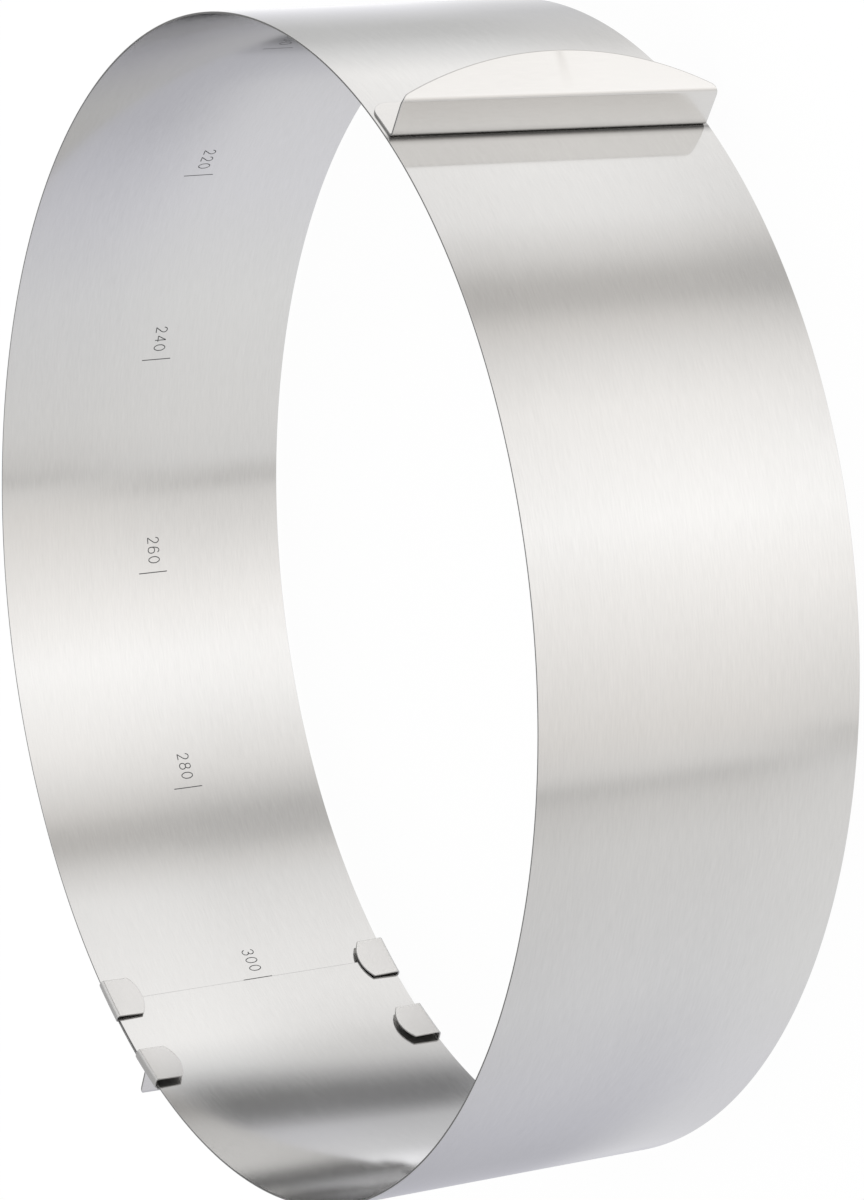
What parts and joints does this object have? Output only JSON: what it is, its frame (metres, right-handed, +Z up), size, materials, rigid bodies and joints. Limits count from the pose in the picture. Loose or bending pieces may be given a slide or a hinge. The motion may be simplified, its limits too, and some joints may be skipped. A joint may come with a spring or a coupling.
{
  "type": "adjustable cake ring",
  "caption": "Adjustable baking ring: an overlapping steel strip held by folded lugs, drawn smaller or larger by sheet handles welded to its outside.",
  "frame": {"origin": "on the ring's axis, level with the underside of the lugs on the low rim", "axes": "+Z up along the ring's axis; +Y from the axis to the wall of the middle handle; +X completes the right-handed frame"},
  "size_m": [0.301, 0.3372, 0.0876],
  "materials": {
    "strip": "satin stainless steel strip, finely brushed along its length",
    "handles": "satin stainless steel sheet, bent"
  },
  "bodies": {
    "outer_end": {"band_section_01": "strip", "end_handle": "handles"},
    "section_02": {"band_section_02": "strip"},
    "section_03": {"band_section_03": "strip"},
    "section_04": {"band_section_04": "strip"},
    "section_05": {"band_section_05": "strip"},
    "section_06": {"band_section_06": "strip"},
    "section_07": {"band_section_07": "strip"},
    "section_08": {"band_section_08": "strip"},
    "section_09": {"band_section_09": "strip"},
    "section_10": {"band_section_10": "strip"},
    "section_11": {"band_section_11": "strip"},
    "section_12": {"band_section_12": "strip"},
    "section_13": {"band_section_13": "strip"},
    "section_14": {"band_section_14": "strip"},
    "section_15": {"band_section_15": "strip"},
    "section_16": {"band_section_16": "strip"},
    "section_17": {"band_section_17": "strip"},
    "section_18": {"band_section_18": "strip"},
    "middle_of_ring": {"band_section_19": "strip", "middle_handle": "handles"},
    "section_20": {"band_section_20": "strip"},
    "section_21": {"band_section_21": "strip"},
    "section_22": {"band_section_22": "strip"},
    "section_23": {"band_section_23": "strip"},
    "section_24": {"band_section_24": "strip"},
    "section_25": {"band_section_25": "strip"},
    "section_26": {"band_section_26": "strip"},
    "section_27": {"band_section_27": "strip"},
    "section_28": {"band_section_28": "strip"},
    "section_29": {"band_section_29": "strip"},
    "section_30": {"band_section_30": "strip"},
    "section_31": {"band_section_31": "strip"},
    "section_32": {"band_section_32": "strip"},
    "section_33": {"band_section_33": "strip"},
    "section_34": {"band_section_34": "strip"},
    "section_35": {"band_section_35": "strip"},
    "section_36": {"band_section_36": "strip"}
  },
  "joints": [
    {"name": "bend_18_19", "type": "hinge", "parent": "middle_of_ring", "child": "section_18", "pos_m": [-0.02071, 0.14857, 0.0438], "axis": [0, 0, 1], "range_deg": [0, 8.95]},
    {"name": "bend_19_20", "type": "hinge", "parent": "middle_of_ring", "child": "section_20", "pos_m": [0.006, 0.14986, 0.0438], "axis": [0, 0, -1], "range_deg": [0, 9.1]},
    {"name": "bend_17_18", "type": "hinge", "parent": "section_18", "child": "section_17", "pos_m": [-0.04677, 0.14255, 0.0438], "axis": [0, 0, 1], "range_deg": [0, 8.95]},
    {"name": "bend_20_21", "type": "hinge", "parent": "section_20", "child": "section_21", "pos_m": [0.0332, 0.14624, 0.0438], "axis": [0, 0, -1], "range_deg": [0, 9.23]},
    {"name": "bend_16_17", "type": "hinge", "parent": "section_17", "child": "section_16", "pos_m": [-0.07135, 0.132, 0.0438], "axis": [0, 0, 1], "range_deg": [0, 8.94]},
    {"name": "bend_21_22", "type": "hinge", "parent": "section_21", "child": "section_22", "pos_m": [0.05929, 0.13772, 0.0438], "axis": [0, 0, -1], "range_deg": [0, 9.24]},
    {"name": "bend_15_16", "type": "hinge", "parent": "section_16", "child": "section_15", "pos_m": [-0.09366, 0.11726, 0.0438], "axis": [0, 0, 1], "range_deg": [0, 8.93]},
    {"name": "bend_22_23", "type": "hinge", "parent": "section_22", "child": "section_23", "pos_m": [0.08338, 0.12459, 0.0438], "axis": [0, 0, -1], "range_deg": [0, 9.26]},
    {"name": "bend_14_15", "type": "hinge", "parent": "section_15", "child": "section_14", "pos_m": [-0.11301, 0.09878, 0.0438], "axis": [0, 0, 1], "range_deg": [0, 8.92]},
    {"name": "bend_23_24", "type": "hinge", "parent": "section_23", "child": "section_24", "pos_m": [0.10467, 0.10729, 0.0438], "axis": [0, 0, -1], "range_deg": [0, 9.27]},
    {"name": "bend_13_14", "type": "hinge", "parent": "section_14", "child": "section_13", "pos_m": [-0.12878, 0.07715, 0.0438], "axis": [0, 0, 1], "range_deg": [0, 8.91]},
    {"name": "bend_24_25", "type": "hinge", "parent": "section_24", "child": "section_25", "pos_m": [0.12245, 0.0864, 0.0438], "axis": [0, 0, -1], "range_deg": [0, 9.28]},
    {"name": "bend_12_13", "type": "hinge", "parent": "section_13", "child": "section_12", "pos_m": [-0.14045, 0.05307, 0.0438], "axis": [0, 0, 1], "range_deg": [0, 8.9]},
    {"name": "bend_25_26", "type": "hinge", "parent": "section_25", "child": "section_26", "pos_m": [0.13613, 0.06263, 0.0438], "axis": [0, 0, -1], "range_deg": [0, 9.3]},
    {"name": "bend_11_12", "type": "hinge", "parent": "section_12", "child": "section_11", "pos_m": [-0.14766, 0.02729, 0.0438], "axis": [0, 0, 1], "range_deg": [0, 8.89]},
    {"name": "bend_26_27", "type": "hinge", "parent": "section_26", "child": "section_27", "pos_m": [0.14524, 0.03677, 0.0438], "axis": [0, 0, -1], "range_deg": [0, 9.31]},
    {"name": "bend_10_11", "type": "hinge", "parent": "section_11", "child": "section_10", "pos_m": [-0.15019, 0.00064, 0.0438], "axis": [0, 0, 1], "range_deg": [0, 8.88]},
    {"name": "bend_27_28", "type": "hinge", "parent": "section_27", "child": "section_28", "pos_m": [0.14948, 0.00968, 0.0438], "axis": [0, 0, -1], "range_deg": [0, 9.32]},
    {"name": "bend_09_10", "type": "hinge", "parent": "section_10", "child": "section_09", "pos_m": [-0.14794, -0.02604, 0.0438], "axis": [0, 0, 1], "range_deg": [0, 8.87]},
    {"name": "bend_28_29", "type": "hinge", "parent": "section_28", "child": "section_29", "pos_m": [0.14872, -0.01772, 0.0438], "axis": [0, 0, -1], "range_deg": [0, 9.34]},
    {"name": "bend_08_09", "type": "hinge", "parent": "section_09", "child": "section_08", "pos_m": [-0.14098, -0.0519, 0.0438], "axis": [0, 0, 1], "range_deg": [0, 8.86]},
    {"name": "bend_29_30", "type": "hinge", "parent": "section_29", "child": "section_30", "pos_m": [0.14298, -0.04452, 0.0438], "axis": [0, 0, -1], "range_deg": [0, 9.35]},
    {"name": "bend_07_08", "type": "hinge", "parent": "section_08", "child": "section_07", "pos_m": [-0.12955, -0.07612, 0.0438], "axis": [0, 0, 1], "range_deg": [0, 8.85]},
    {"name": "bend_30_31", "type": "hinge", "parent": "section_30", "child": "section_31", "pos_m": [0.13245, -0.06982, 0.0438], "axis": [0, 0, -1], "range_deg": [0, 9.36]},
    {"name": "bend_06_07", "type": "hinge", "parent": "section_07", "child": "section_06", "pos_m": [-0.11399, -0.09792, 0.0438], "axis": [0, 0, 1], "range_deg": [0, 8.83]},
    {"name": "bend_31_32", "type": "hinge", "parent": "section_31", "child": "section_32", "pos_m": [0.11749, -0.09277, 0.0438], "axis": [0, 0, -1], "range_deg": [0, 9.38]},
    {"name": "bend_05_06", "type": "hinge", "parent": "section_06", "child": "section_05", "pos_m": [-0.09481, -0.11663, 0.0438], "axis": [0, 0, 1], "range_deg": [0, 8.82]},
    {"name": "bend_32_33", "type": "hinge", "parent": "section_32", "child": "section_33", "pos_m": [0.0986, -0.11261, 0.0438], "axis": [0, 0, -1], "range_deg": [0, 9.39]},
    {"name": "bend_04_05", "type": "hinge", "parent": "section_05", "child": "section_04", "pos_m": [-0.07261, -0.13163, 0.0438], "axis": [0, 0, 1], "range_deg": [0, 8.81]},
    {"name": "bend_33_34", "type": "hinge", "parent": "section_33", "child": "section_34", "pos_m": [0.07642, -0.12868, 0.0438], "axis": [0, 0, -1], "range_deg": [0, 9.4]},
    {"name": "bend_03_04", "type": "hinge", "parent": "section_04", "child": "section_03", "pos_m": [-0.04809, -0.14245, 0.0438], "axis": [0, 0, 1], "range_deg": [0, 8.8]},
    {"name": "bend_34_35", "type": "hinge", "parent": "section_34", "child": "section_35", "pos_m": [0.05168, -0.14042, 0.0438], "axis": [0, 0, -1], "range_deg": [0, 9.41]},
    {"name": "bend_02_03", "type": "hinge", "parent": "section_03", "child": "section_02", "pos_m": [-0.02203, -0.14874, 0.0438], "axis": [0, 0, 1], "range_deg": [0, 8.79]},
    {"name": "bend_35_36", "type": "hinge", "parent": "section_35", "child": "section_36", "pos_m": [0.02522, -0.14747, 0.0438], "axis": [0, 0, -1], "range_deg": [0, 9.43]},
    {"name": "bend_01_02", "type": "hinge", "parent": "section_02", "child": "outer_end", "pos_m": [0.00473, -0.15032, 0.0438], "axis": [0, 0, 1], "range_deg": [0, 8.87]}
  ],
  "couplings": [
    {"joint": "bend_19_20", "follows": "bend_18_19", "ratio": 1.0148},
    {"joint": "bend_17_18", "follows": "bend_18_19", "ratio": 0.9986},
    {"joint": "bend_20_21", "follows": "bend_18_19", "ratio": 1.0296},
    {"joint": "bend_16_17", "follows": "bend_18_19", "ratio": 0.99721},
    {"joint": "bend_21_22", "follows": "bend_18_19", "ratio": 1.0311},
    {"joint": "bend_15_16", "follows": "bend_18_19", "ratio": 0.99581},
    {"joint": "bend_22_23", "follows": "bend_18_19", "ratio": 1.0325},
    {"joint": "bend_14_15", "follows": "bend_18_19", "ratio": 0.99462},
    {"joint": "bend_23_24", "follows": "bend_18_19", "ratio": 1.034},
    {"joint": "bend_13_14", "follows": "bend_18_19", "ratio": 0.99346},
    {"joint": "bend_24_25", "follows": "bend_18_19", "ratio": 1.0355},
    {"joint": "bend_12_13", "follows": "bend_18_19", "ratio": 0.99229},
    {"joint": "bend_25_26", "follows": "bend_18_19", "ratio": 1.0369},
    {"joint": "bend_11_12", "follows": "bend_18_19", "ratio": 0.99112},
    {"joint": "bend_26_27", "follows": "bend_18_19", "ratio": 1.0384},
    {"joint": "bend_10_11", "follows": "bend_18_19", "ratio": 0.98995},
    {"joint": "bend_27_28", "follows": "bend_18_19", "ratio": 1.0399},
    {"joint": "bend_09_10", "follows": "bend_18_19", "ratio": 0.98879},
    {"joint": "bend_28_29", "follows": "bend_18_19", "ratio": 1.0414},
    {"joint": "bend_08_09", "follows": "bend_18_19", "ratio": 0.98762},
    {"joint": "bend_29_30", "follows": "bend_18_19", "ratio": 1.0428},
    {"joint": "bend_07_08", "follows": "bend_18_19", "ratio": 0.98645},
    {"joint": "bend_30_31", "follows": "bend_18_19", "ratio": 1.0443},
    {"joint": "bend_06_07", "follows": "bend_18_19", "ratio": 0.98528},
    {"joint": "bend_31_32", "follows": "bend_18_19", "ratio": 1.0458},
    {"joint": "bend_05_06", "follows": "bend_18_19", "ratio": 0.98411},
    {"joint": "bend_32_33", "follows": "bend_18_19", "ratio": 1.0473},
    {"joint": "bend_04_05", "follows": "bend_18_19", "ratio": 0.98295},
    {"joint": "bend_33_34", "follows": "bend_18_19", "ratio": 1.0487},
    {"joint": "bend_03_04", "follows": "bend_18_19", "ratio": 0.98178},
    {"joint": "bend_34_35", "follows": "bend_18_19", "ratio": 1.0502},
    {"joint": "bend_02_03", "follows": "bend_18_19", "ratio": 0.98061},
    {"joint": "bend_35_36", "follows": "bend_18_19", "ratio": 1.0517},
    {"joint": "bend_01_02", "follows": "bend_18_19", "ratio": 0.98904}
  ]
}
